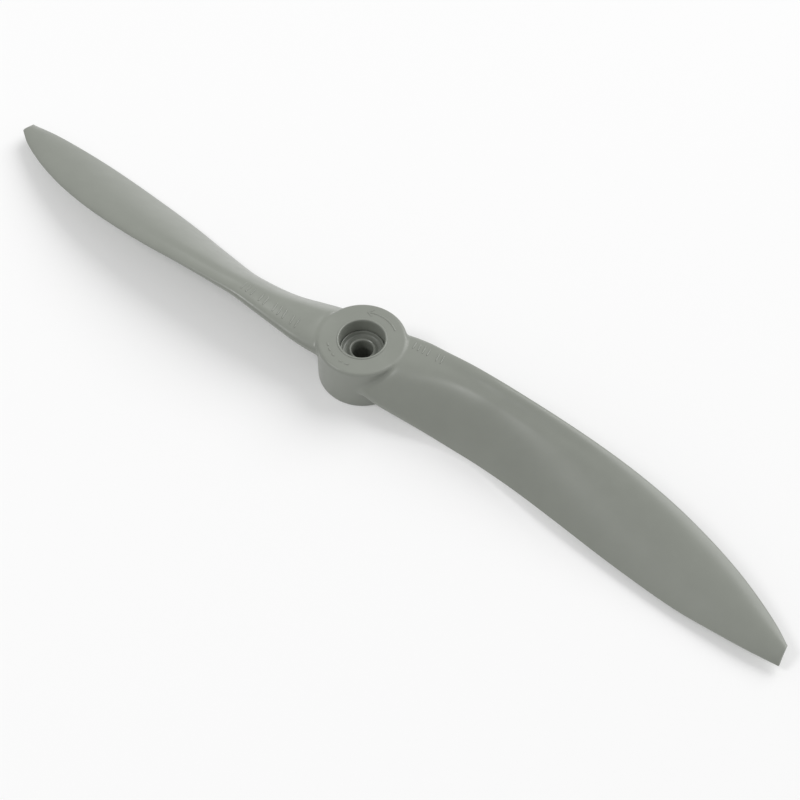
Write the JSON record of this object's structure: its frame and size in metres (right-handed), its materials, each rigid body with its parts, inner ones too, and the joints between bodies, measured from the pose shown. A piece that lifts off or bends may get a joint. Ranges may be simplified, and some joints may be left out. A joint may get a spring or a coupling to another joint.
{
  "type": "model aircraft propeller",
  "caption": "Moulded two-blade model aircraft propeller: twisted aerofoil blades on a round hub with a shaft hole and a loose adapter ring in its recess.",
  "frame": {"origin": "centre of the hub's back face, on the shaft axis", "axes": "+Z along the shaft axis towards the front, the way the propeller pulls; +X along blade_1; +Y on that blade's leading side"},
  "size_m": [0.27, 0.0294, 0.0162],
  "materials": {
    "propeller_nylon": "satin mid-grey glass-filled nylon, as moulded",
    "ring_nylon": "the same grey nylon, slightly darker"
  },
  "bodies": {
    "propeller": {"hub": "propeller_nylon", "blade_1": "propeller_nylon", "blade_2": "propeller_nylon"},
    "ring": {"adapter_ring": "ring_nylon"}
  },
  "joints": [
    {"name": "ring_slide", "type": "slide", "parent": "propeller", "child": "ring", "axis": [0, 0, 1], "range_m": [0, 0.02]}
  ]
}
